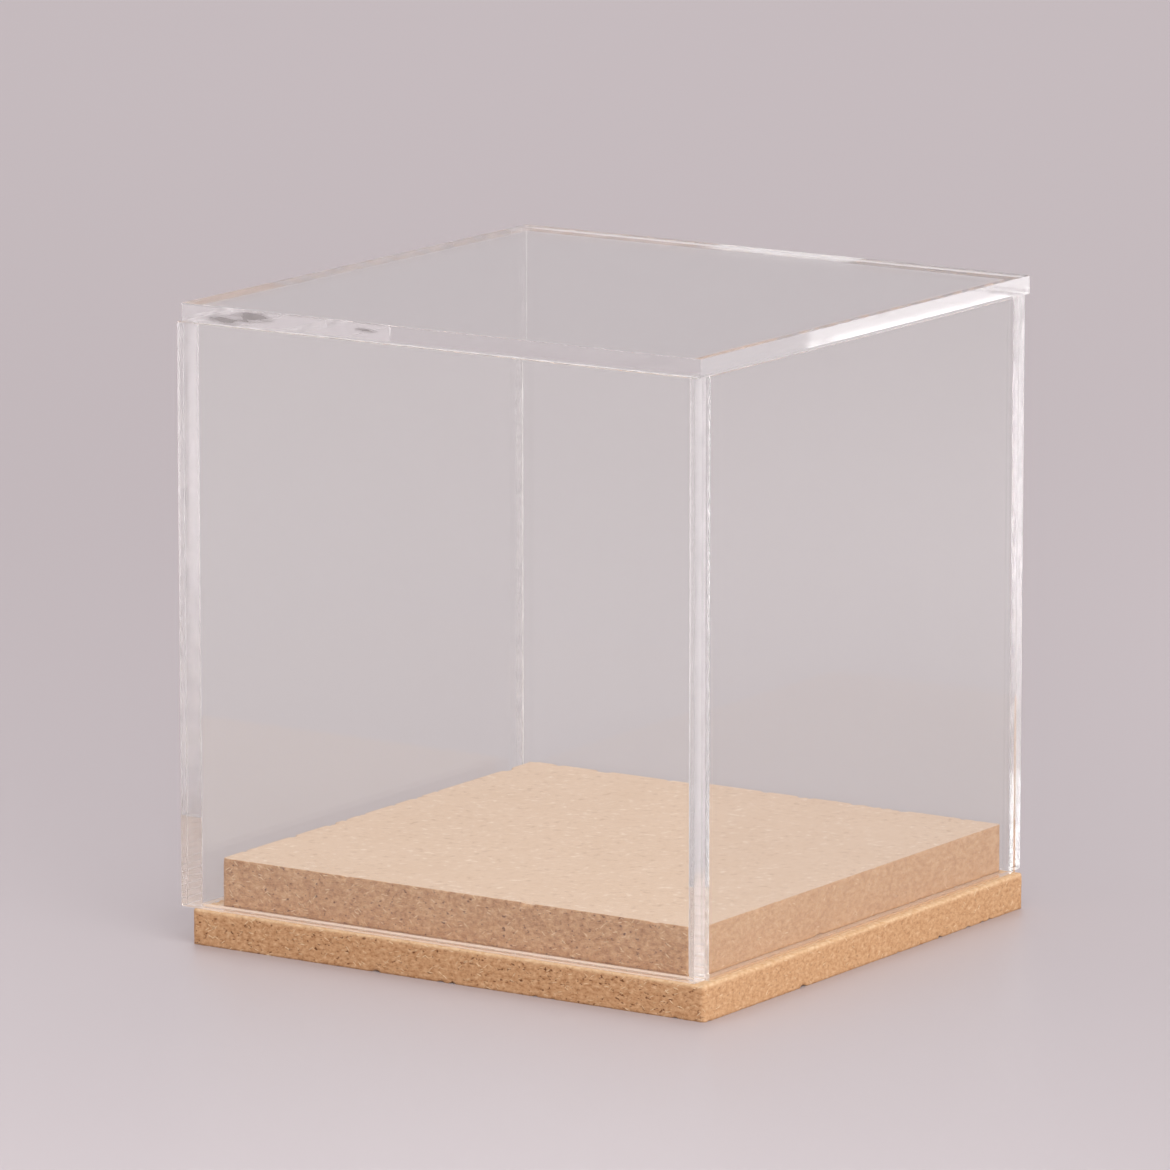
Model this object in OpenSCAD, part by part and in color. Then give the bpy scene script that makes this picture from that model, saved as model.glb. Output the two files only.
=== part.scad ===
/* [Cover] */
// Outer width of the clear cover, left to right
cover_w = 100; // [60:1:200]
// Outer depth of the clear cover, front to back
cover_d = 100; // [60:1:200]
// Outer height of the clear cover
cover_h = 100; // [40:1:240]
// Thickness of the clear sheet that the cover is cut from
sheet_t = 3; // [2.5:0.5:6]
// How far to the right the top panel slipped when it was cemented on
top_slip_x = 0.5; // [-1:0.1:1]
// How far to the back the top panel slipped when it was cemented on
top_slip_y = 0.7; // [-1:0.1:1]
// How far to the right the right wall slipped when it was cemented on
right_slip = 0.8; // [0:0.1:1]

/* [Base] */
// Thickness of the base plate
plate_t = 6; // [4:0.5:12]
// How much shorter than the cover the base plate was cut, front to back
plate_short = 2; // [0:0.1:2.5]
// Width of the corner sanded off the top and upright edges of the base plate
plate_ease = 0.5; // [0.2:0.1:1]
// Height of the plinth above the base plate
plinth_h = 8; // [3:0.5:20]
// Width of the corner sanded off the top and upright edges of the plinth
plinth_ease = 0.2; // [0.1:0.05:0.5]
// How far to the right of the plate's middle the plinth was glued
plinth_off_x = -1.2; // [-1.5:0.1:1.5]
// How far behind the plate's middle the plinth was glued
plinth_off_y = 2.2; // [-0.5:0.1:2.3]

/* [Fit] */
// Total play of the loose cover over the plinth, side to side and front to back
cover_play = 2.5; // [1:0.1:4]
// Gap left where the cover was pushed up to the plinth: at its back, and at its right but for the slip
lean_gap = 0.3; // [0.1:0.05:0.5]

/* [Hidden] */

plate_w = cover_w;
plate_d = cover_d - plate_short;

// Space inside the four walls, and the plinth that stands in it
inner_w = cover_w - 2 * sheet_t;
inner_d = cover_d - 2 * sheet_t;
plinth_w = inner_w - cover_play;
plinth_d = inner_d - cover_play;

// The cover stands on the plate, over the plinth and pushed up to its right and back sides
wall_h = cover_h - sheet_t;
cover_x = plinth_off_x + plinth_w / 2 + lean_gap - inner_w / 2;
cover_y = plinth_off_y + plinth_d / 2 + lean_gap - inner_d / 2;

board_colour = [0.79, 0.62, 0.45];
sheet_colour = [0.86, 0.89, 0.90, 0.35];

// Outline of a board's section with its two upper corners sanded off, standing on the origin
module eased_section(w, h, ease) {
    polygon([
        [-w / 2, 0], [w / 2, 0],
        [w / 2, h - ease], [w / 2 - ease, h],
        [ease - w / 2, h], [-w / 2, h - ease]
    ]);
}

// Plan of a board with its four corners sanded off, centred on the origin
module eased_plan(w, d, ease) {
    polygon([
        for (turn = [[1, 1], [-1, 1], [-1, -1], [1, -1]])
            for (step = turn.x == turn.y ? [0, 1] : [1, 0])
                [turn.x * (w / 2 - ease * step), turn.y * (d / 2 - ease * (1 - step))]
    ]);
}

// A flat board with its top and upright edges eased and its underside left sharp
module eased_board(w, d, h, ease) {
    intersection() {
        linear_extrude(h) eased_plan(w, d, ease);
        rotate([90, 0, 0])
            linear_extrude(d, center = true) eased_section(w, h, ease);
        rotate([90, 0, 90])
            linear_extrude(w, center = true) eased_section(d, h, ease);
    }
}

// A square-edged panel of the clear sheet, placed by its middle and its lower face
module panel(w, d, h, at) {
    color(sheet_colour)
        translate([cover_x + at.x, cover_y + at.y, plate_t + at.z])
            linear_extrude(h) square([w, d], center = true);
}

module base_plate() {
    color(board_colour) eased_board(plate_w, plate_d, plate_t, plate_ease);
}

module plinth() {
    color(board_colour)
        translate([plinth_off_x, plinth_off_y, plate_t])
            eased_board(plinth_w, plinth_d, plinth_h, plinth_ease);
}

// The front and back walls run the full width and close off the ends of the side walls
module front_wall() {
    panel(cover_w, sheet_t, wall_h, [0, -(inner_d + sheet_t) / 2, 0]);
}

module back_wall() {
    panel(cover_w, sheet_t, wall_h, [0, (inner_d + sheet_t) / 2, 0]);
}

module left_wall() {
    panel(sheet_t, inner_d, wall_h, [-(inner_w + sheet_t) / 2, 0, 0]);
}

module right_wall() {
    panel(sheet_t, inner_d, wall_h, [(inner_w + sheet_t) / 2 + right_slip, 0, 0]);
}

// The top panel lies on the upper edges of all four walls
module top_panel() {
    panel(cover_w, cover_d, sheet_t, [top_slip_x, top_slip_y, wall_h]);
}

base_plate();
plinth();
front_wall();
back_wall();
left_wall();
right_wall();
top_panel();
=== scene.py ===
# %% [markdown]
# A clear display cube: an open-bottomed cover of clear acrylic stands loose over a
# fibreboard plinth, which is glued to a fibreboard base plate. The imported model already
# holds every size and place. This lesson gives each piece the surface of the real one:
# polished and scraped acrylic, set cement, sanded board and sawn board.

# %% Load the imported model
import math

import bmesh
import bpy
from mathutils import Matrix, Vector, noise


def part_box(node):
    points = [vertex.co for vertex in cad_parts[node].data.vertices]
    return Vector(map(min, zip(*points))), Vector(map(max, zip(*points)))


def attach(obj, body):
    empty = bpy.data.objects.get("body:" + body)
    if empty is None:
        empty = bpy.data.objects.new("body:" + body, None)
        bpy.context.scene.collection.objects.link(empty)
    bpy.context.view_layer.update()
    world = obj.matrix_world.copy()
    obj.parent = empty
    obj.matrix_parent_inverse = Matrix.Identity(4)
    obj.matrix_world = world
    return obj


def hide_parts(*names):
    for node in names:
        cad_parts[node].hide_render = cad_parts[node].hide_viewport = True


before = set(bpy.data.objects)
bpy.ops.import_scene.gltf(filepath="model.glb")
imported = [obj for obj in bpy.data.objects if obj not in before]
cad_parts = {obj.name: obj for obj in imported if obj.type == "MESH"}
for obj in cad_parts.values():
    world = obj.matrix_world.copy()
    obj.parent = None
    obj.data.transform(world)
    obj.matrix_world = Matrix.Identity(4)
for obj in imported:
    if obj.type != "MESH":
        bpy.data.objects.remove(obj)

MM = 0.001
scene = bpy.context.scene
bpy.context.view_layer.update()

# %% [markdown]
# The camera stands where the photographer stood: about a metre and a half away, a third
# of a right angle round to the right and a little above. A long lens keeps the upright
# edges almost parallel, so the lens matters as much as the direction.

# %% Camera
AZIMUTH = math.radians(33.53)
ELEVATION = math.radians(10.94)
DISTANCE = 1540.5 * MM
LENS_MM = 288.6
SENSOR_MM = 36
AIM = Vector((-4.9, -0.4, 56.8)) * MM


def outward(azimuth, elevation):
    """The direction from the object to a place round it, with azimuth 0 in front."""
    flat = math.cos(elevation)
    return Vector((math.sin(azimuth) * flat, -math.cos(azimuth) * flat, math.sin(elevation)))


lens = bpy.data.cameras.new("camera")
lens.lens = LENS_MM
lens.sensor_width = SENSOR_MM
camera = bpy.data.objects.new("camera", lens)
camera.location = AIM + outward(AZIMUTH, ELEVATION) * DISTANCE
camera.rotation_mode = "QUATERNION"
camera.rotation_quaternion = outward(AZIMUTH, ELEVATION).to_track_quat("Z", "Y")
scene.collection.objects.link(camera)
scene.camera = camera
print("camera at, mm:", [round(x / MM) for x in camera.location])

# %% [markdown]
# A material is a small tree of nodes. One function turns the hex colours that people read
# into the linear numbers that a shader works in, and one adds a node with its settings
# and links, so that each finish below reads as a short list.

# %% Helpers for nodes
def linear(hex_colour):
    """A colour such as "c8a078" as linear red, green and blue, and alpha."""
    shares = [int(hex_colour[i:i + 2], 16) / 255 for i in (0, 2, 4)]
    return [s / 12.92 if s <= 0.04045 else ((s + 0.055) / 1.055) ** 2.4 for s in shares] + [1.0]


def add(tree, kind, settings=None, inputs=None, stops=None):
    """A new node. An input takes a value or another node's output, and a ramp takes its stops."""
    node = tree.nodes.new(kind)
    for key, value in (settings or {}).items():
        setattr(node, key, value)
    for key, value in (inputs or {}).items():
        if isinstance(value, bpy.types.NodeSocket):
            tree.links.new(value, node.inputs[key])
        else:
            node.inputs[key].default_value = value
    for i, (place, colour) in enumerate(stops or []):
        steps = node.color_ramp.elements
        step = steps[i] if i < len(steps) else steps.new(1.0)
        step.position = place
        step.color = linear(colour)
    return node


def new_material(name):
    """An empty material and its tree."""
    material = bpy.data.materials.new(name)
    material.use_nodes = True
    material.node_tree.nodes.clear()
    return material, material.node_tree


# The colour inputs and the colour output of a Mix node, which also has others by the same names
MIX_A, MIX_B, MIX_RESULT = 6, 7, 2

print("linear of c8a078:", [round(x, 3) for x in linear("c8a078")])

# %% [markdown]
# The stage is a wide sheet of matt, faintly mauve paper. It is far wider than the frame,
# so that every view sees it and no edge of it shows.

# %% Floor
FLOOR_SIZE = 12.0

# Coated background paper: matt, with a weak sheen where it is seen at a low angle
paper_material, tree = new_material("background_paper")
paper = add(tree, "ShaderNodeBsdfPrincipled", inputs={"Base Color": linear("bfb8ba"), "Roughness": 0.4})
add(tree, "ShaderNodeOutputMaterial", inputs={"Surface": paper.outputs[0]})

half = FLOOR_SIZE / 2
floor_mesh = bpy.data.meshes.new("floor")
floor_mesh.from_pydata(
    [(-half, -half, 0), (half, -half, 0), (half, half, 0), (-half, half, 0)], [], [(0, 1, 2, 3)],
)
floor_mesh.materials.append(paper_material)
floor = bpy.data.objects.new("floor", floor_mesh)
scene.collection.objects.link(floor)
print("floor, m:", FLOOR_SIZE)

# %% [markdown]
# Clear acrylic has almost no look of its own: what it shows is the room. Light that enters
# a cut edge runs along inside the sheet and leaves at the far side, so a bright edge in the
# picture is a view of a lamp or of lit paper in quite another direction. Two large softboxes
# light the object and the background. One at the left is what some cut edges show. Three
# more hang low over the paper and make it paler in front and where the other edges look.
# The room itself is pale grey.

# %% World and lamps
ROOM_COLOUR = linear("c3babd")
OVERHEAD = 0.97
world = bpy.data.worlds.new("studio")
world.use_nodes = True
tree = world.node_tree
tree.nodes.clear()
where = add(tree, "ShaderNodeTexCoord")
height = add(tree, "ShaderNodeSeparateXYZ", inputs={0: where.outputs["Generated"]})
rise = add(
    tree, "ShaderNodeMapRange",
    inputs={
        "Value": height.outputs["Z"], "From Min": 0.3, "From Max": 1.0,
        "To Min": 1.0, "To Max": OVERHEAD,
    },
)
room = add(tree, "ShaderNodeBackground", inputs={"Color": ROOM_COLOUR, "Strength": rise.outputs[0]})
add(tree, "ShaderNodeOutputWorld", inputs={"Surface": room.outputs[0]})
scene.world = world


def lamp(name, place, facing, wide, high, brightness):
    """A flat soft lamp. Brightness is what a camera would see of it, where 1 is white."""
    light = bpy.data.lights.new(name, "AREA")
    light.shape = "RECTANGLE"
    light.size, light.size_y = wide, high
    light.energy = brightness * math.pi * wide * high
    holder = bpy.data.objects.new(name, light)
    holder.location = place
    holder.rotation_mode = "QUATERNION"
    holder.rotation_quaternion = (-facing).to_track_quat("Z", "Y")
    scene.collection.objects.link(holder)
    print(name, "at, mm:", [round(x / MM) for x in place], "brightness:", brightness)


LEFT = math.radians(-33.5)
RIGHT = math.radians(75)
BEHIND = math.radians(213.5)
UP = Vector((0, 0, 1))
to_softbox = outward(LEFT, math.radians(15))
to_window = outward(RIGHT, math.radians(22))
# Each lamp: its place in metres, where it faces, its width and height, and its brightness
lamp("left_softbox", to_softbox * 0.85, -to_softbox, 0.45, 0.5, 1.15)
lamp("left_paper_softbox", Vector((-0.2, -0.24, 0.2)), Vector((-0.75, -0.4, -1)), 0.3, 0.3, 1.5)
lamp("right_paper_softbox", Vector((0.22, 0.3, 0.3)), Vector((0.8, 0.7, -1)), 0.4, 0.4, 1.8)
lamp("front_softbox", Vector((0.15, -0.34, 0.3)), -UP, 0.3, 0.3, 2.0)
lamp("right_softbox", to_window * 1.6, -to_window, 1.2, 1.2, 4.1)
lamp("background_softbox", outward(BEHIND, 0) * 1.3 + UP * 1.5, -UP, 1.2, 1.2, 2.9)

scene.view_settings.view_transform = "Standard"

# %% [markdown]
# A ray that is caught inside a sheet bounces dozens of times before it gets out, so the
# limits on bounces go up. Shadow rays pass straight through the clear panels further down,
# so caustics are left off: they would light what is inside the cover a second time.

# %% Ray limits
BOUNCES = 64
for limit in ("max_bounces", "glossy_bounces", "transmission_bounces", "transparent_max_bounces"):
    setattr(scene.cycles, limit, BOUNCES)
scene.cycles.caustics_refractive = False
scene.cycles.caustics_reflective = False
print("bounces:", scene.cycles.max_bounces)

# %% [markdown]
# Both boards are raw medium-density fibreboard. Its faces come smooth and pale out of the
# press and the sander. Here and there a bundle of fibres lies a shade lighter or darker, and
# a few are sunk. Noise at two sizes gives the drift of the tone and the flecks.

# %% Sanded fibreboard
# Pressed and sanded face: pale tan and even, with faint flecks. They are drawn about twice
# as long as a real bundle, because the low view squeezes them to a fifth of that.
board_face, tree = new_material("sanded_fibreboard_face")
where = add(tree, "ShaderNodeTexCoord")
cloud = add(
    tree, "ShaderNodeTexNoise",
    inputs={"Vector": where.outputs["Object"], "Scale": 1 / (9 * MM), "Detail": 3.0, "Roughness": 0.6},
)
tone = add(
    tree, "ShaderNodeValToRGB", inputs={"Fac": cloud.outputs["Fac"]},
    stops=[(0.35, "d9ba9b"), (0.65, "dfc2a5")],
)
bundles = add(
    tree, "ShaderNodeTexNoise",
    inputs={"Vector": where.outputs["Object"], "Scale": 1 / (1.3 * MM), "Detail": 3.0, "Roughness": 0.6},
)
flecks = add(
    tree, "ShaderNodeValToRGB", inputs={"Fac": bundles.outputs["Fac"]},
    stops=[(0.32, "bd9877"), (0.4, "dbbd9f"), (0.6, "ddc0a3"), (0.68, "f3e2cf")],
)
colour = add(
    tree, "ShaderNodeMix", {"data_type": "RGBA"},
    {0: 0.55, MIX_A: tone.outputs["Color"], MIX_B: flecks.outputs["Color"]},
)
relief = add(
    tree, "ShaderNodeBump",
    inputs={"Strength": 0.5, "Distance": 0.1 * MM, "Height": bundles.outputs["Fac"]},
)
face = add(
    tree, "ShaderNodeBsdfPrincipled",
    inputs={"Base Color": colour.outputs[MIX_RESULT], "Roughness": 0.62, "Normal": relief.outputs[0]},
)
add(tree, "ShaderNodeOutputMaterial", inputs={"Surface": face.outputs[0]})
print("made", board_face.name)

# %% [markdown]
# A saw opens the board's core. The fibres there are torn, so the edge is darker and more
# orange than the face, with pits between the bundles, painted dark as shade in the hollows of
# the bump, and pale ends that catch the light.
# Handling rubs the upper arris smooth, and its lighter colour is partly that wear and partly
# a painted highlight where light from above falls on it. The left and right sides are painted
# paler and more even, as a stand-in for the softer light on them. An attribute of the mesh
# marks each.

# %% Sawn fibreboard
# Sawn edge: matt brown felt, mottled, with pale fibre ends and with painted shade in its pits
board_edge, tree = new_material("sawn_fibreboard_edge")
where = add(tree, "ShaderNodeTexCoord")
lying = add(
    tree, "ShaderNodeMapping", inputs={"Vector": where.outputs["Object"], "Scale": (0.6, 0.6, 1)},
)
felt = add(
    tree, "ShaderNodeTexNoise",
    inputs={"Vector": lying.outputs[0], "Scale": 1 / (0.6 * MM), "Detail": 5.0, "Roughness": 0.7},
)
mottle = add(
    tree, "ShaderNodeValToRGB", inputs={"Fac": felt.outputs["Fac"]},
    stops=[(0.3, "9c6c44"), (0.45, "bf9167"), (0.58, "cfa47a"), (0.74, "e4c29c")],
)
# Painted light: the sides facing left and right get this paler, even colour without pits, a stand-in for
# the softer light on them
soft_light_colour = add(
    tree, "ShaderNodeValToRGB", inputs={"Fac": felt.outputs["Fac"]},
    stops=[(0.3, "b98c63"), (0.5, "cca177"), (0.7, "d8b38c")],
)
gaps = add(
    tree, "ShaderNodeTexNoise",
    inputs={"Vector": lying.outputs[0], "Scale": 1 / (0.5 * MM), "Detail": 2.0, "Roughness": 0.6},
)
# Painted shade: where the bump sinks, the colour turns dark brown
pit_shade = add(
    tree, "ShaderNodeValToRGB", inputs={"Fac": gaps.outputs["Fac"]},
    stops=[(0.3, "ffffff"), (0.38, "000000")],
)
with_pit_shade = add(
    tree, "ShaderNodeMix", {"data_type": "RGBA"},
    {0: pit_shade.outputs["Color"], MIX_A: mottle.outputs["Color"], MIX_B: linear("6e4529")},
)
sanded = add(tree, "ShaderNodeAttribute", {"attribute_name": "sanded"})
cut = add(
    tree, "ShaderNodeMix", {"data_type": "RGBA"},
    {0: sanded.outputs["Fac"], MIX_A: with_pit_shade.outputs[MIX_RESULT], MIX_B: soft_light_colour.outputs["Color"]},
)
# Lighter colour of the upper arris: partly rubbed by handling, partly a painted highlight where light
# from above falls
rubbed_and_lit = add(
    tree, "ShaderNodeValToRGB", inputs={"Fac": gaps.outputs["Fac"]},
    stops=[(0.3, "cfa57a"), (0.7, "e6c7a0")],
)
wear_and_highlight = add(tree, "ShaderNodeAttribute", {"attribute_name": "wear_and_highlight"})
colour = add(
    tree, "ShaderNodeMix", {"data_type": "RGBA"},
    {0: wear_and_highlight.outputs["Fac"], MIX_A: cut.outputs[MIX_RESULT], MIX_B: rubbed_and_lit.outputs["Color"]},
)
relief = add(
    tree, "ShaderNodeBump",
    inputs={"Strength": 0.6, "Distance": 0.12 * MM, "Height": gaps.outputs["Fac"]},
)
edge = add(
    tree, "ShaderNodeBsdfPrincipled",
    inputs={
        "Base Color": colour.outputs[MIX_RESULT], "Roughness": 0.85, "Specular IOR Level": 0.3,
        "Normal": relief.outputs[0],
    },
)
add(tree, "ShaderNodeOutputMaterial", inputs={"Surface": edge.outputs[0]})
print("made", board_edge.name)

# %% [markdown]
# A board is a sheet with a sawn rim. The rim is built as columns of points round the
# outline, each pushed in a little by noise, so that the saw's roughness and the chips along
# the arrises are real relief. The push is only ever inwards, so the size stays.

# %% Rim of a board
STEP = 0.35 * MM
CORNER = 0.9 * MM
# How deep the saw tears, in mm: on the whole, at least, by two sizes of noise, and in pits
MEAN_TEAR, LEAST_TEAR = 0.08, 0.05
FINE_TEAR, BROAD_TEAR, PIT_TEAR = 0.04, 0.03, 0.3
PIT_LEVEL = 0.3


def outline(low, high):
    """Points round a rectangle with its corners rounded, each with the direction that faces out."""
    points = []
    corners = [(high.x, low.y, -90), (high.x, high.y, 0), (low.x, high.y, 90), (low.x, low.y, 180)]
    middle = (low + high) / 2
    turns = round(CORNER * math.pi / 2 / STEP)
    for i, (x, y, start) in enumerate(corners):
        inwards = Vector((math.copysign(CORNER, middle.x - x), math.copysign(CORNER, middle.y - y)))
        centre = Vector((x, y)) + inwards
        for k in range(turns + 1):
            angle = math.radians(start + 90 * k / turns)
            out = Vector((math.cos(angle), math.sin(angle)))
            points.append((centre + out * CORNER, out))
        begin, out = points[-1]
        side = Vector((-out.y, out.x))
        after = Vector(corners[(i + 1) % 4][:2])
        length = abs((after - Vector((x, y))).dot(side)) - 2 * CORNER
        count = round(length / STEP)
        points += [(begin + side * length * k / count, out) for k in range(1, count)]
    return points


def tear(point, scale, seed):
    """Noise from -1 to 1 at a point, with features of a size in mm."""
    return noise.noise(point / (scale * MM) + Vector((seed, seed, seed)))


def depth(point):
    """How far the saw tore a point of the rim in."""
    rough = MEAN_TEAR + FINE_TEAR * tear(point, 0.6, 3.1) + BROAD_TEAR * tear(point, 1.8, 7.7)
    pit = max(0.0, tear(point, 0.8, 11.3) - PIT_LEVEL)
    return max(LEAST_TEAR, rough + PIT_TEAR * pit) * MM


def chip(point, seed, share):
    """How far an arris is chipped at a point: mostly nothing, here and there a notch."""
    return max(0.0, tear(point, 1.3, seed) + tear(point, 4.0, seed + 5) - share) * MM


tears = [depth(Vector((i * STEP, 0, 0))) for i in range(500)]
print("deepest tear of 500, mm:", round(max(tears) / MM, 2))

# %% [markdown]
# Each board gets rows of such points from its foot to its rounded upper arris, one more row
# inside it, and a flat cap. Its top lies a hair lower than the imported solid's, because two
# faces in one plane flicker where clear sheet stands on them.

# %% Boards
CLEARANCE = 0.03 * MM
EDGE, FACE = 0, 1
ARRIS_ROWS = 3
DEEPEST = 0.9 * CORNER
# How far chips reach from the upper arris and from the foot, and how much they slope there
CROWN_REACH, FOOT_REACH = 0.6 * MM, 0.7 * MM
CROWN_SLOPE, FOOT_SLOPE = 0.6, 0.8


def board(name, ease, rim, wear_and_highlight_share, soft_light_share, foot_chips, crown_chips, border):
    """A board that replaces a node: torn rim, rounded upper arris, and a border round its top."""
    low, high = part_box(name)
    top = high.z - CLEARANCE
    ring = outline(low, high)
    side_rows = round((top - low.z - ease) / STEP)
    profile = [(low.z + (top - ease - low.z) * k / side_rows, 0.0) for k in range(side_rows + 1)]
    for k in range(1, ARRIS_ROWS + 1):
        angle = math.pi / 2 / ARRIS_ROWS * k
        profile.append((top - ease + ease * math.sin(angle), ease * (1 - math.cos(angle))))
    verts = []
    wear_and_highlight = []
    sanded = []
    for z, inset in profile:
        near_top = max(0.0, 1 - (top - z) / CROWN_REACH)
        near_foot = max(0.0, 1 - (z - low.z) / FOOT_REACH)
        for at, out in ring:
            crown = near_top * crown_chips * chip(Vector((at.x, at.y, top)), 33.0, 0.3)
            foot = near_foot * foot_chips * chip(Vector((at.x, at.y, low.z)), 21.0, 0.5)
            push = min(inset + depth(Vector((at.x, at.y, z))) + crown + foot, DEEPEST)
            height = z - CROWN_SLOPE * crown + FOOT_SLOPE * foot
            verts.append((at.x - out.x * push, at.y - out.y * push, height))
            # How much of that lighter arris colour, wear and painted highlight, each point takes
            wear_and_highlight.append(wear_and_highlight_share * min(1.0, max(0.0, (z - top + 1.2 * ease) / (0.7 * ease))))
            # How much of the painted paler colour a point takes: most on the sides facing left and right
            sanded.append(soft_light_share * abs(out.x))
    for at, out in ring:
        x = min(max(at.x, low.x + rim), high.x - rim)
        y = min(max(at.y, low.y + rim), high.y - rim)
        verts.append((x, y, top))
        wear_and_highlight.append(wear_and_highlight_share)
        sanded.append(soft_light_share * abs(out.x))
    around = len(ring)
    faces = []
    for row in range(len(profile)):
        for i in range(around):
            j = (i + 1) % around
            a, b = row * around, (row + 1) * around
            faces.append((a + i, a + j, b + j, b + i))
    sides = len(faces)
    faces.append(tuple(range(len(profile) * around, (len(profile) + 1) * around)))
    faces.append(tuple(reversed(range(around))))
    mesh = bpy.data.meshes.new(name + "_board")
    mesh.from_pydata(verts, [], faces)
    mesh.attributes.new("wear_and_highlight", "FLOAT", "POINT").data.foreach_set("value", wear_and_highlight)
    mesh.attributes.new("sanded", "FLOAT", "POINT").data.foreach_set("value", sanded)
    mesh.materials.append(board_edge)
    mesh.materials.append(board_face)
    for i, polygon in enumerate(mesh.polygons):
        if i >= sides:
            polygon.material_index = FACE
        elif i >= sides - around:
            polygon.material_index = border
        polygon.use_smooth = i < sides
    shape = bmesh.new()
    shape.from_mesh(mesh)
    bmesh.ops.remove_doubles(shape, verts=shape.verts, dist=0.001 * MM)
    shape.to_mesh(mesh)
    shape.free()
    piece = bpy.data.objects.new(name + "_board", mesh)
    scene.collection.objects.link(piece)
    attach(piece, "base")
    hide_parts(name)
    print(piece.name, "faces:", len(mesh.polygons))
    return piece


plate_board = board(
    "base_plate", ease=0.5 * MM, rim=2.5 * MM, wear_and_highlight_share=1.0, soft_light_share=0.6,
    foot_chips=0.6, crown_chips=0.5, border=EDGE,
)
plinth_board = board(
    "plinth", ease=0.12 * MM, rim=1.2 * MM, wear_and_highlight_share=0.0, soft_light_share=1.0,
    foot_chips=0.3, crown_chips=0.6, border=FACE,
)

# %% [markdown]
# What repeats or follows a path is made with Geometry Nodes: the fibres on the boards and the
# beads of cement on the cover. One function makes an empty tree with named sizes. The other
# runs a tree on a piece and keeps the plain mesh, because an export leaves a live tree out.

# %% Helpers for Geometry Nodes
def growing_tree(name, sizes):
    """A Geometry Nodes tree, the node that hands in its inputs, and the inputs' identifiers."""
    tree = bpy.data.node_groups.new(name, "GeometryNodeTree")
    tree.interface.new_socket("Geometry", in_out="INPUT", socket_type="NodeSocketGeometry")
    tree.interface.new_socket("Geometry", in_out="OUTPUT", socket_type="NodeSocketGeometry")
    identifiers = {
        size: tree.interface.new_socket(size, in_out="INPUT", socket_type=kind).identifier
        for size, kind in sizes.items()
    }
    return tree, add(tree, "NodeGroupInput"), identifiers


def grow(piece, tree, identifiers, sizes):
    """Runs a tree on a piece and keeps what it made as the piece's plain mesh."""
    modifier = piece.modifiers.new(tree.name, "NODES")
    modifier.node_group = tree
    for size, value in sizes.items():
        modifier[identifiers[size]] = value
    grown = piece.evaluated_get(bpy.context.evaluated_depsgraph_get())
    mesh = bpy.data.meshes.new_from_object(grown)
    mesh.name = piece.name
    piece.modifiers.remove(modifier)
    piece.data = mesh
    print(piece.name, "faces:", len(mesh.polygons))


print("helpers:", growing_tree.__name__, "and", grow.__name__)

# %% [markdown]
# Torn bundles of fibres lie loose on the sawn sides. They could be painted on, but then they
# would cast no shadow. They are too many to place by hand, so a tree scatters them: points on
# the upright faces, a short bent strand on each, turned to lie flat and mostly level, as the
# fibres in a pressed board do. The left and right sides keep only a quarter of them.

# %% Fibre bundles
# Torn wood fibre: pale matt straw, some of it darker, never shiny
loose_fibre, tree = new_material("torn_wood_fibre")
shade = add(tree, "ShaderNodeAttribute", {"attribute_name": "shade"})
straw = add(
    tree, "ShaderNodeValToRGB", inputs={"Fac": shade.outputs["Fac"]},
    stops=[(0.0, "9c6f46"), (0.5, "d0aa7e"), (1.0, "efd6b0")],
)
strand = add(
    tree, "ShaderNodeBsdfPrincipled",
    inputs={"Base Color": straw.outputs["Color"], "Roughness": 0.8},
)
add(tree, "ShaderNodeOutputMaterial", inputs={"Surface": strand.outputs[0]})

tree, given, fibre_sizes = growing_tree("scattered_fibres", {
    "Density": "NodeSocketFloat", "Length": "NodeSocketFloat",
    "Thickness": "NodeSocketFloat", "Seed": "NodeSocketInt",
})
SIDEWAYS_FIBRE_SHARE = 0.25
facing = add(tree, "GeometryNodeInputNormal")
axes = add(tree, "ShaderNodeSeparateXYZ", inputs={0: facing.outputs[0]})
level = add(tree, "ShaderNodeMath", {"operation": "ABSOLUTE"}, {0: axes.outputs["Z"]})
upright = add(tree, "FunctionNodeCompare", {"operation": "LESS_THAN"}, {0: level.outputs[0], 1: 0.5})
sideways = add(tree, "ShaderNodeMath", {"operation": "ABSOLUTE"}, {0: axes.outputs["X"]})
left_over = add(
    tree, "ShaderNodeMapRange",
    inputs={"Value": sideways.outputs[0], "To Min": 1.0, "To Max": SIDEWAYS_FIBRE_SHARE},
)
sown = add(
    tree, "ShaderNodeMath", {"operation": "MULTIPLY"},
    {0: given.outputs["Density"], 1: left_over.outputs[0]},
)
points = add(
    tree, "GeometryNodeDistributePointsOnFaces",
    inputs={
        "Mesh": given.outputs["Geometry"], "Selection": upright.outputs[0],
        "Density": sown.outputs[0], "Seed": given.outputs["Seed"],
    },
)
along = add(
    tree, "ShaderNodeVectorMath", {"operation": "CROSS_PRODUCT"},
    {0: UP, 1: points.outputs["Normal"]},
)
flat = add(tree, "FunctionNodeAxesToRotation", inputs={0: points.outputs["Normal"], 1: along.outputs[0]})
lean = add(
    tree, "FunctionNodeRandomValue", {"data_type": "FLOAT_VECTOR"},
    {0: (0, -0.05, -0.9), 1: (0, 0.05, 0.9), "Seed": given.outputs["Seed"]},
)
leaning = add(tree, "FunctionNodeEulerToRotation", inputs={0: lean.outputs[0]})
turned = add(
    tree, "FunctionNodeRotateRotation", {"rotation_space": "LOCAL"},
    {0: flat.outputs[0], 1: leaning.outputs[0]},
)
size = add(
    tree, "FunctionNodeRandomValue", {"data_type": "FLOAT"},
    {2: 0.4, 3: 1.6, "Seed": given.outputs["Seed"]},
)
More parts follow.
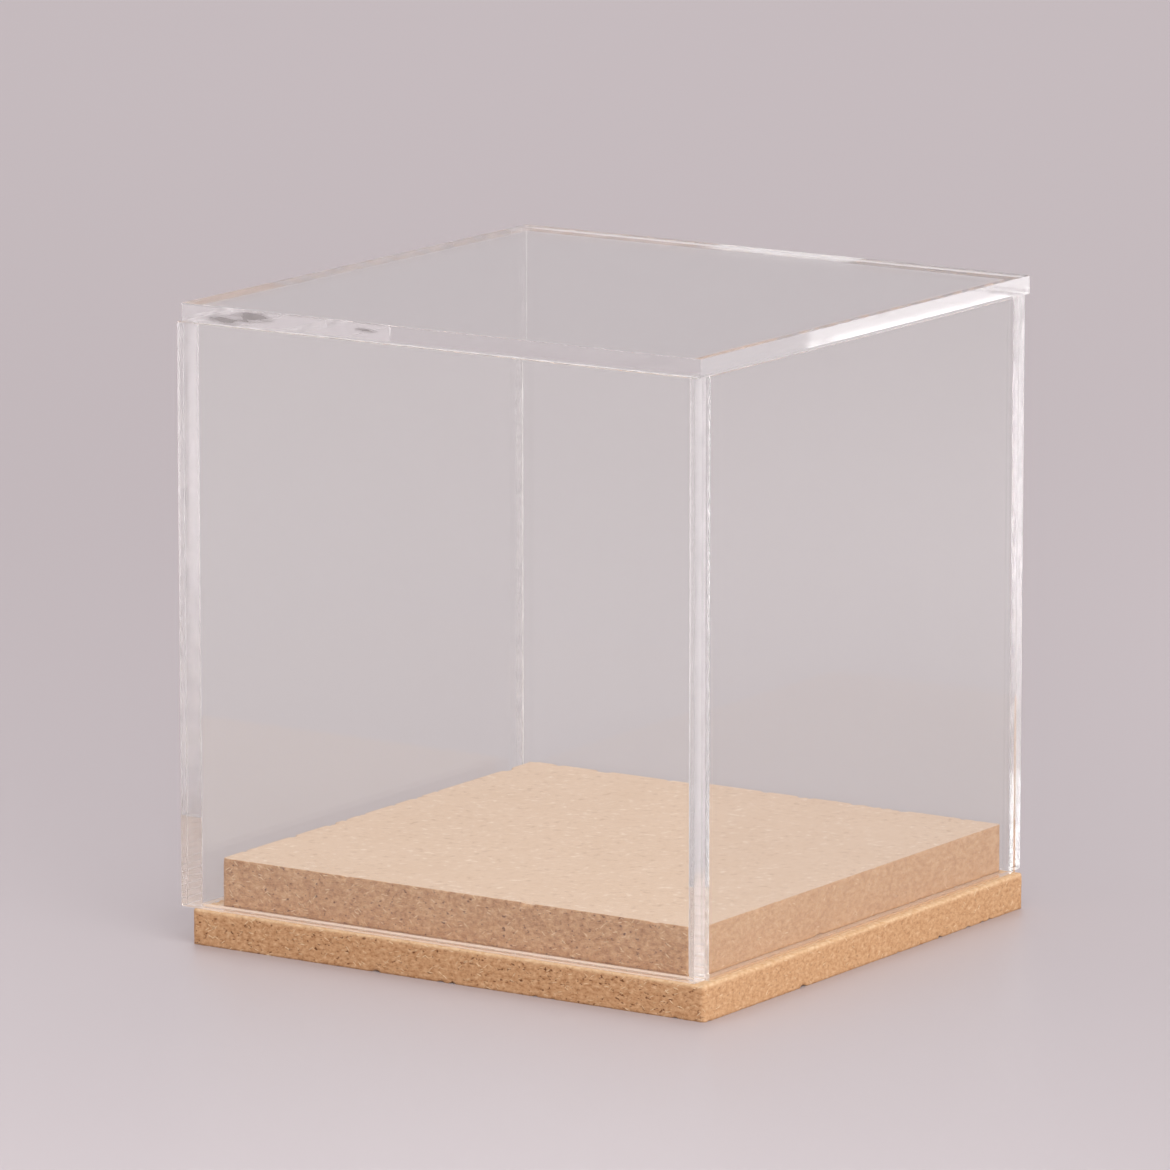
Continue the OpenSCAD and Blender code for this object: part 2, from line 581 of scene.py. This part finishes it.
long = add(
    tree, "ShaderNodeMath", {"operation": "MULTIPLY"},
    {0: size.outputs[1], 1: given.outputs["Length"]},
)
thin = add(tree, "ShaderNodeMath", {"operation": "MULTIPLY"}, {0: given.outputs["Thickness"], 1: 0.5})
scale = add(
    tree, "ShaderNodeCombineXYZ",
    inputs={0: long.outputs[0], 1: given.outputs["Thickness"], 2: thin.outputs[0]},
)
bow = add(
    tree, "GeometryNodeCurveQuadraticBezier",
    inputs={"Resolution": 3, "Start": (-0.5, 0, 0), "Middle": (0.1, 0.4, 0), "End": (0.5, 0, 0)},
)
section = add(tree, "GeometryNodeCurvePrimitiveCircle", inputs={"Resolution": 4, "Radius": 0.5})
bundle = add(
    tree, "GeometryNodeCurveToMesh",
    inputs={"Curve": bow.outputs[0], "Profile Curve": section.outputs[0], "Fill Caps": True},
)
laid = add(
    tree, "GeometryNodeInstanceOnPoints",
    inputs={
        "Points": points.outputs["Points"], "Instance": bundle.outputs[0],
        "Rotation": turned.outputs[0], "Scale": scale.outputs[0],
    },
)
tint = add(
    tree, "FunctionNodeRandomValue", {"data_type": "FLOAT"},
    {2: 0.0, 3: 1.0, "Seed": given.outputs["Seed"]},
)
tinted = add(
    tree, "GeometryNodeStoreNamedAttribute", {"data_type": "FLOAT", "domain": "INSTANCE"},
    {"Geometry": laid.outputs[0], "Name": "shade", "Value": tint.outputs[1]},
)
real = add(tree, "GeometryNodeRealizeInstances", inputs={"Geometry": tinted.outputs[0]})
plate_low, plate_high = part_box("base_plate")
spot = add(tree, "GeometryNodeInputPosition")
inside = add(
    tree, "ShaderNodeVectorMath", {"operation": "MAXIMUM"},
    {0: spot.outputs[0], 1: plate_low + Vector((1, 1, 1)) * CLEARANCE},
)
within = add(
    tree, "ShaderNodeVectorMath", {"operation": "MINIMUM"},
    {0: inside.outputs[0], 1: plate_high + Vector((-CLEARANCE, -CLEARANCE, 1))},
)
pressed = add(
    tree, "GeometryNodeSetPosition",
    inputs={"Geometry": real.outputs[0], "Position": within.outputs[0]},
)
finished = add(
    tree, "GeometryNodeSetMaterial",
    inputs={"Geometry": pressed.outputs[0], "Material": loose_fibre},
)
add(tree, "NodeGroupOutput", inputs={0: finished.outputs[0]})

both = bmesh.new()
both.from_mesh(plate_board.data)
both.from_mesh(plinth_board.data)
fibres = bpy.data.objects.new("sawn_edge_fibres", bpy.data.meshes.new("both_boards"))
both.to_mesh(fibres.data)
both.free()
scene.collection.objects.link(fibres)
grow(
    fibres, tree, fibre_sizes,
    {"Density": 0.8 / MM ** 2, "Length": 0.5 * MM, "Thickness": 0.12 * MM, "Seed": 4},
)
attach(fibres, "base")

# %% [markdown]
# The cover is cut from clear cast acrylic sheet. Its faces are glossy with a trace of dust.
# Its cut edges are polished, or only rubbed on paper, its sharp arrises are scraped, and its
# foot is sawn and rubbed. Each finish is the same clear shader with its own roughness and its
# own share of white. A clear shader alone would leave the inside dark, because the renderer
# finds no lamp through glass. So light on its way to another surface passes straight through,
# a shade dimmer.

# %% Clear acrylic
ACRYLIC_IOR = 1.49
# A smear is five times as wide as it is high
SMEAR_SHAPE = Vector((1, 1, 5))
# How ragged a smear is, where it starts to fade and where it ends, as shares of its reach
SMEAR_RAGGED, SMEAR_CORE, SMEAR_RIM = 1.5, 1.1, 1.9
SMEAR_COVER = 0.75


def smeared(tree, shader, centre, reach):
    """A flat grey smear with a ragged border, laid over a shader."""
    where = add(tree, "ShaderNodeTexCoord")
    squashed = add(
        tree, "ShaderNodeVectorMath", {"operation": "MULTIPLY"},
        {0: where.outputs["Object"], 1: SMEAR_SHAPE},
    )
    away = add(
        tree, "ShaderNodeVectorMath", {"operation": "DISTANCE"},
        {0: squashed.outputs[0], 1: centre * SMEAR_SHAPE},
    )
    ragged = add(
        tree, "ShaderNodeTexNoise",
        inputs={"Vector": squashed.outputs[0], "Scale": 1 / (2.5 * MM), "Detail": 2.0},
    )
    border = add(
        tree, "ShaderNodeMath", {"operation": "MULTIPLY_ADD"},
        {0: ragged.outputs["Fac"], 1: reach * SMEAR_RAGGED, 2: away.outputs["Value"]},
    )
    cover = add(
        tree, "ShaderNodeMapRange",
        inputs={
            "Value": border.outputs[0],
            "From Min": reach * SMEAR_CORE, "From Max": reach * SMEAR_RIM,
            "To Min": SMEAR_COVER, "To Max": 0.0,
        },
    )
    grey = add(tree, "ShaderNodeBsdfDiffuse", inputs={"Color": linear("8d8886")})
    return add(
        tree, "ShaderNodeMixShader",
        inputs={0: cover.outputs[0], 1: shader.outputs[0], 2: grey.outputs[0]},
    )


def clear_material(name, roughness, clarity, colour="fcfdfc", smears=()):
    """Acrylic that light crosses. Clarity is the share that isn't turned white by scratches."""
    material, tree = new_material(name)
    glass = add(
        tree, "ShaderNodeBsdfPrincipled",
        inputs={
            "Base Color": linear(colour), "Roughness": roughness, "IOR": ACRYLIC_IOR,
            "Transmission Weight": clarity,
        },
    )
    path = add(tree, "ShaderNodeLightPath")
    passing = add(
        tree, "ShaderNodeMath", {"operation": "MAXIMUM"},
        {0: path.outputs["Is Shadow Ray"], 1: path.outputs["Is Diffuse Ray"]},
    )
    clear = add(tree, "ShaderNodeBsdfTransparent", inputs={"Color": linear("fafafa")})
    mix = add(
        tree, "ShaderNodeMixShader",
        inputs={0: passing.outputs[0], 1: glass.outputs[0], 2: clear.outputs[0]},
    )
    for centre, reach in smears:
        mix = smeared(tree, mix, Vector(centre) * MM, reach * MM)
    add(tree, "ShaderNodeOutputMaterial", inputs={"Surface": mix.outputs[0]})
    print("made", name)
    return material


# Cast sheet: mirror smooth, with a trace of dust that greys it
sheet_face = clear_material("clear_cast_acrylic_sheet", 0.0, 0.991)
# Polished cut: as smooth as the face, with a faint haze
cut_edge = clear_material("polished_acrylic_edge", 0.0, 0.99)
# Scraped arris: a thin white line
scraped = clear_material("scraped_acrylic_arris", 0.05, 0.8)
# Sawn and torn acrylic: frosted white, with a painted warm tint that stands in for light thrown up by
# the board below
sawn_foot_painted_warmth = clear_material("sawn_acrylic_foot_painted_warmth", 0.3, 0.15, "fff0e2")
# Foot of three walls: sawn and rubbed on paper, so half clear. Its tan is a painted reflection of the
# board below
rubbed_foot_painted_tan = clear_material("rubbed_acrylic_foot_painted_tan", 0.1, 0.45, "ecc8a2")
# Right ends of the front and back walls: rubbed flat but not polished, so they have a soft bloom
rubbed_end = clear_material("rubbed_acrylic_end", 0.03, 0.78)
# Right edge of the top: rubbed on paper, so what it mirrors runs together into a soft white
satin_edge = clear_material("satin_acrylic_edge", 0.1, 0.86)
# Front edge of the top: polished, with grey rubbed into it near the left corner
SMEARS_MM = [
    ((-43, -48.05, 103.9), 4), ((-37.5, -48.05, 104.9), 4.5), ((-15.6, -48.05, 104.8), 2),
]
smeared_edge = clear_material("smeared_acrylic_edge", 0.0, 0.99, smears=SMEARS_MM)

# %% [markdown]
# Cement melts the panels together where it reaches, so light crosses a good joint as if
# nothing were there. Where it did not reach, a film of air is left between two polished
# faces, and that mirrors. A film could be cut into the mesh, but its border is ragged. So the
# joints here have a film of air all over, and the shader closes it except in two dry patches
# under the top. A little white haze shows in the cement, most of all in the back left corner.

# %% Cemented joints
# Each dry patch: its middle and how far it reaches
DRY_PATCHES_MM = [((0.5, 49.7, 103), 13), ((-40, -46.9, 103), 7)]
DRY_LEVEL = 1.5
MILKY_CORNER_MM = (-50.65, 48.25, 0)

# Set cement: clear, with milky clouds and dry patches
joint, tree = new_material("cemented_acrylic_joint")
where = add(tree, "ShaderNodeTexCoord")
ragged = add(
    tree, "ShaderNodeTexNoise",
    inputs={"Vector": where.outputs["Object"], "Scale": 1 / (3 * MM), "Detail": 3.0},
)
nearest = None
for centre, reach in DRY_PATCHES_MM:
    away = add(
        tree, "ShaderNodeVectorMath", {"operation": "DISTANCE"},
        {0: where.outputs["Object"], 1: Vector(centre) * MM},
    )
    share = add(
        tree, "ShaderNodeMath", {"operation": "DIVIDE"},
        {0: away.outputs["Value"], 1: reach * MM},
    )
    if nearest:
        share = add(
            tree, "ShaderNodeMath", {"operation": "MINIMUM"},
            {0: share.outputs[0], 1: nearest.outputs[0]},
        )
    nearest = share
border = add(
    tree, "ShaderNodeMath", {"operation": "ADD"},
    {0: nearest.outputs[0], 1: ragged.outputs["Fac"]},
)
dry = add(
    tree, "ShaderNodeMath", {"operation": "LESS_THAN"}, {0: border.outputs[0], 1: DRY_LEVEL},
)
path = add(tree, "ShaderNodeLightPath")
passing = add(
    tree, "ShaderNodeMath", {"operation": "MAXIMUM"},
    {0: path.outputs["Is Shadow Ray"], 1: path.outputs["Is Diffuse Ray"]},
)
seen = add(tree, "ShaderNodeMath", {"operation": "SUBTRACT"}, {0: 1.0, 1: passing.outputs[0]})
plan = add(
    tree, "ShaderNodeMapping", inputs={"Vector": where.outputs["Object"], "Scale": (1, 1, 0)},
)
aside = add(
    tree, "ShaderNodeVectorMath", {"operation": "DISTANCE"},
    {0: plan.outputs[0], 1: Vector(MILKY_CORNER_MM) * MM},
)
most = add(
    tree, "ShaderNodeMapRange",
    inputs={
        "Value": aside.outputs["Value"], "From Min": 1.6 * MM, "From Max": 2.4 * MM,
        "To Min": 0.22, "To Max": 0.03,
    },
)
milk = add(
    tree, "ShaderNodeMapRange",
    inputs={
        "Value": ragged.outputs["Fac"], "From Min": 0.4, "From Max": 0.62,
        "To Min": 0.0, "To Max": most.outputs[0],
    },
)
milky = add(
    tree, "ShaderNodeMath", {"operation": "MULTIPLY"}, {0: milk.outputs[0], 1: seen.outputs[0]},
)
mirror = add(
    tree, "ShaderNodeMath", {"operation": "MULTIPLY"}, {0: dry.outputs[0], 1: seen.outputs[0]},
)
clear = add(tree, "ShaderNodeBsdfTransparent", inputs={"Color": linear("fefefe")})
cloud = add(
    tree, "ShaderNodeBsdfPrincipled", inputs={"Base Color": linear("f4f2f2"), "Roughness": 0.5},
)
glass = add(
    tree, "ShaderNodeBsdfPrincipled",
    inputs={
        "Base Color": linear("fcfdfc"), "Roughness": 0.0, "IOR": ACRYLIC_IOR,
        "Transmission Weight": 1.0,
    },
)
wet = add(
    tree, "ShaderNodeMixShader",
    inputs={0: milky.outputs[0], 1: clear.outputs[0], 2: cloud.outputs[0]},
)
bond = add(
    tree, "ShaderNodeMixShader",
    inputs={0: mirror.outputs[0], 1: wet.outputs[0], 2: glass.outputs[0]},
)
add(tree, "ShaderNodeOutputMaterial", inputs={"Surface": bond.outputs[0]})
print("made", joint.name)

# %% [markdown]
# Light that runs along inside a wall bounces from face to face some twenty times, so a few
# hundredths of a millimetre of thickness decide on which side it leaves. Cast sheet is never
# quite even, and here the front wall is a little thicker and the back wall a little thinner
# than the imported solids. The side walls end a hair short of both, and all four walls a hair
# below the top, which is the film of air in the joints.

# %% Places of the panels
HAIRLINE = 0.02 * MM
PANELS = ("front_wall", "back_wall", "left_wall", "right_wall", "top_panel")
THINNER = 0.05 * MM
THICKER = 0.035 * MM
boxes = {}
for name in PANELS:
    low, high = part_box(name)
    if name != "top_panel":
        high.z -= HAIRLINE
    if name in ("left_wall", "right_wall"):
        low.y += THICKER + HAIRLINE
        high.y += THINNER - HAIRLINE
    if name == "back_wall":
        low.y += THINNER
    if name == "front_wall":
        high.y += THICKER
    boxes[name] = (low, high)
    print(name, "size, mm:", [round(x / MM, 3) for x in high - low])

# %% [markdown]
# Each panel starts as its box. An arris that nothing covers is scraped, but for those of the
# right wall, which were left sharp. That wall slipped outwards when it was set, so its joint
# with the front wall stayed dry. Then the faces are cut along the outlines of the neighbours,
# so that each part of a face gets its own finish. A thin torn strip just above the front
# wall's foot, on its inside, shows as a white line.

# %% Panels
ARRIS = 0.05 * MM
ARRIS_STEPS = 2
PROBE = 0.03 * MM
# A face within this of straight along an axis is one of the box's own
STRAIGHT = 0.999
SHARP = "right_wall"
DRY_JOINT = {"front_wall", "right_wall"}
FINISHES = [
    sheet_face, cut_edge, scraped, joint, sawn_foot_painted_warmth,
    rubbed_foot_painted_tan, rubbed_end, satin_edge, smeared_edge,
]
# Three feet carry a painted tan that stands in for the board's reflection
FEET = {
    "front_wall": rubbed_foot_painted_tan, "back_wall": cut_edge,
    "left_wall": rubbed_foot_painted_tan, "right_wall": rubbed_foot_painted_tan,
}
front_foot = boxes["front_wall"][0].z
burr = (front_foot + 0.17 * MM, front_foot + 0.5 * MM)


def touched(name, point):
    """The panel other than the named one that a point lies in, or nothing."""
    for other, (low, high) in boxes.items():
        if other != name and all(low[k] < point[k] < high[k] for k in range(3)):
            return other
    return None


def finish(name, face):
    """The finish of one face of a panel."""
    low, high = boxes[name]
    thin = min(range(3), key=lambda k: high[k] - low[k])
    out = face.normal
    middle = face.calc_center_median()
    neighbour = touched(name, middle + out * PROBE)
    if max(abs(x) for x in out) < STRAIGHT:
        return scraped
    if neighbour and {name, neighbour} != DRY_JOINT:
        return joint
    if out.z < -0.5 and name in FEET:
        return FEET[name]
    # The torn strip's warm tint is painted light from the board below
    if name == "front_wall" and out.y > 0.5 and burr[0] < middle.z < burr[1]:
        return sawn_foot_painted_warmth
    if name in ("front_wall", "back_wall") and out.x > 0.5:
        return rubbed_end
    if name == "top_panel" and out.x > 0.5:
        return satin_edge
    if name == "top_panel" and out.y < -0.5:
        return smeared_edge
    return cut_edge if abs(out[thin]) < 0.5 else sheet_face


def slice_across(shape, place, direction):
    """Cuts every face of a shape along a plane and keeps both sides."""
    everything = shape.verts[:] + shape.edges[:] + shape.faces[:]
    bmesh.ops.bisect_plane(shape, geom=everything, dist=1e-8, plane_co=place, plane_no=direction)


def number_by_place(parts, place):
    """Numbers a shape's points or faces by where they lie, so that every run numbers them alike."""
    along = sorted(parts, key=lambda part: [round(x, 7) for x in place(part)])
    ranks = {part: i for i, part in enumerate(along)}
    parts.sort(key=lambda part: ranks[part])


def clear_panel(name):
    """A panel with its free arrises scraped and each of its faces finished."""
    low, high = boxes[name]
    shape = bmesh.new()
    bmesh.ops.create_cube(shape, size=1)
    for vert in shape.verts:
        vert.co = Vector([low[k] if vert.co[k] < 0 else high[k] for k in range(3)])
    shape.normal_update()
    free = []
    for line in shape.edges:
        middle = (line.verts[0].co + line.verts[1].co) / 2
        outer = sum((f.normal for f in line.link_faces), Vector())
        beside = touched(name, middle + outer * PROBE)
        if name != SHARP and (not beside or {name, beside} == DRY_JOINT):
            free.append(line)
    bmesh.ops.bevel(
        shape, geom=free, offset=ARRIS, segments=ARRIS_STEPS, profile=0.5, affect="EDGES",
    )
    for other in PANELS:
        for corner in boxes[other]:
            for k in range(3):
                if low[k] + PROBE < corner[k] < high[k] - PROBE:
                    across = Vector([float(j == k) for j in range(3)])
                    slice_across(shape, across * corner[k], across)
    if name == "front_wall":
        for z in burr:
            slice_across(shape, UP * z, UP)
    shape.normal_update()
    number_by_place(shape.verts, lambda vert: vert.co)
    number_by_place(shape.faces, lambda face: face.calc_center_median())
    for face in shape.faces:
        face.material_index = FINISHES.index(finish(name, face))
    bonded = sum(f.calc_area() for f in shape.faces if FINISHES[f.material_index] == joint)
    mesh = bpy.data.meshes.new(name + "_panel")
    shape.to_mesh(mesh)
    shape.free()
    for material in FINISHES:
        mesh.materials.append(material)
    piece = bpy.data.objects.new(name + "_panel", mesh)
    scene.collection.objects.link(piece)
    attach(piece, "cover")
    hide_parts(name)
    print(piece.name, "faces:", len(mesh.polygons), "bonded, mm2:", round(bonded / MM ** 2))


for name in PANELS:
    clear_panel(name)

# %% [markdown]
# Some cement is squeezed out of a joint and sets in its corner as a thin white bead, thick
# here and thin there. Four run up the corners inside and two along the top's front and left
# edges. Each follows a straight line, so Geometry Nodes sweeps a three-cornered section with
# a hollow face along it. A point attribute says which way the corner opens, another how wide
# the bead is, and noise makes the width wander.

# %% Cement beads
# Set cement: milky white, a little glossy
set_cement, tree = new_material("set_acrylic_cement")
where = add(tree, "ShaderNodeTexCoord")
clouds = add(
    tree, "ShaderNodeTexNoise",
    inputs={"Vector": where.outputs["Object"], "Scale": 1 / (2.5 * MM), "Detail": 3.0},
)
white = add(
    tree, "ShaderNodeValToRGB", inputs={"Fac": clouds.outputs["Fac"]},
    stops=[(0.35, "dedbdb"), (0.65, "f6f4f4")],
)
milk = add(
    tree, "ShaderNodeBsdfPrincipled",
    inputs={"Base Color": white.outputs["Color"], "Roughness": 0.35},
)
add(tree, "ShaderNodeOutputMaterial", inputs={"Surface": milk.outputs[0]})

tree, given, bead_sizes = growing_tree(
    "swept_bead", {"Spacing": "NodeSocketFloat", "Wander": "NodeSocketFloat"},
)
line = add(tree, "GeometryNodeMeshToCurve", inputs={"Mesh": given.outputs["Geometry"]})
steps = add(
    tree, "GeometryNodeResampleCurve", {"mode": "LENGTH"},
    {"Curve": line.outputs[0], "Length": given.outputs["Spacing"]},
)
opening = add(
    tree, "GeometryNodeInputNamedAttribute", {"data_type": "FLOAT_VECTOR"}, {"Name": "opening"},
)
aimed = add(
    tree, "GeometryNodeSetCurveNormal", {"mode": "FREE"},
    {"Curve": steps.outputs[0], "Normal": opening.outputs["Attribute"]},
)
width = add(tree, "GeometryNodeInputNamedAttribute", {"data_type": "FLOAT"}, {"Name": "width"})
place = add(tree, "GeometryNodeInputPosition")
wobble = add(
    tree, "ShaderNodeTexNoise",
    inputs={"Vector": place.outputs[0], "Scale": 1 / (4 * MM), "Detail": 2.0},
)
swell = add(
    tree, "ShaderNodeMapRange",
    inputs={
        "Value": wobble.outputs["Fac"], "From Min": 0.3, "From Max": 0.7,
        "To Min": 0.4, "To Max": given.outputs["Wander"],
    },
)
wide = add(
    tree, "ShaderNodeMath", {"operation": "MULTIPLY"},
    {0: width.outputs["Attribute"], 1: swell.outputs[0]},
)
section = add(
    tree, "GeometryNodeCurvePrimitiveQuadrilateral", {"mode": "POINTS"},
    {
        "Point 1": (0, 0, 0), "Point 2": (0.7, -0.7, 0),
        "Point 3": (0.45, 0, 0), "Point 4": (0.7, 0.7, 0),
    },
)
swept = add(
    tree, "GeometryNodeCurveToMesh",
    inputs={
        "Curve": aimed.outputs[0], "Profile Curve": section.outputs[0],
        "Scale": wide.outputs[0], "Fill Caps": True,
    },
)
real = add(tree, "GeometryNodeRealizeInstances", inputs={"Geometry": swept.outputs[0]})
finished = add(
    tree, "GeometryNodeSetMaterial",
    inputs={"Geometry": real.outputs[0], "Material": set_cement},
)
add(tree, "NodeGroupOutput", inputs={0: finished.outputs[0]})

left, right = boxes["left_wall"][1].x, boxes["right_wall"][0].x
front, back = boxes["front_wall"][1].y, boxes["back_wall"][0].y
start = front_foot + 1 * MM
lid = boxes["top_panel"][0]
ledge = boxes["front_wall"][1].z
# Each bead: where it begins and ends, which way its corner opens, and its width in mm
lines = [
    ((left, front, start), (left, front, lid.z), (1, 1, 0), 0.08),
    ((left, back, start), (left, back, lid.z), (1, -1, 0), 0.15),
    ((right, front, start), (right, front, lid.z), (-1, 1, 0), 0.06),
    ((right, back, start), (right, back, lid.z), (-1, -1, 0), 0.06),
    ((left, lid.y, ledge), (boxes["front_wall"][1].x, lid.y, ledge), (0, -1, 1), 0.18),
    ((lid.x, lid.y, ledge), (lid.x, boxes["back_wall"][1].y, ledge), (-1, 0, 1), 0.12),
]
verts = []
openings = []
widths = []
for begin, end, opening, width in lines:
    toward = Vector(opening).normalized()
    verts += [Vector(begin) + toward * HAIRLINE, Vector(end) + toward * HAIRLINE]
    openings += [toward, toward]
    widths += [width * MM, width * MM]
paths = bpy.data.meshes.new("joint_lines")
paths.from_pydata(verts, [(i, i + 1) for i in range(0, len(verts), 2)], [])
opens = paths.attributes.new("opening", "FLOAT_VECTOR", "POINT")
opens.data.foreach_set("vector", [x for toward in openings for x in toward])
paths.attributes.new("width", "FLOAT", "POINT").data.foreach_set("value", widths)
beads = bpy.data.objects.new("cement_beads", paths)
scene.collection.objects.link(beads)
grow(beads, tree, bead_sizes, {"Spacing": 0.8 * MM, "Wander": 1.2})
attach(beads, "cover")
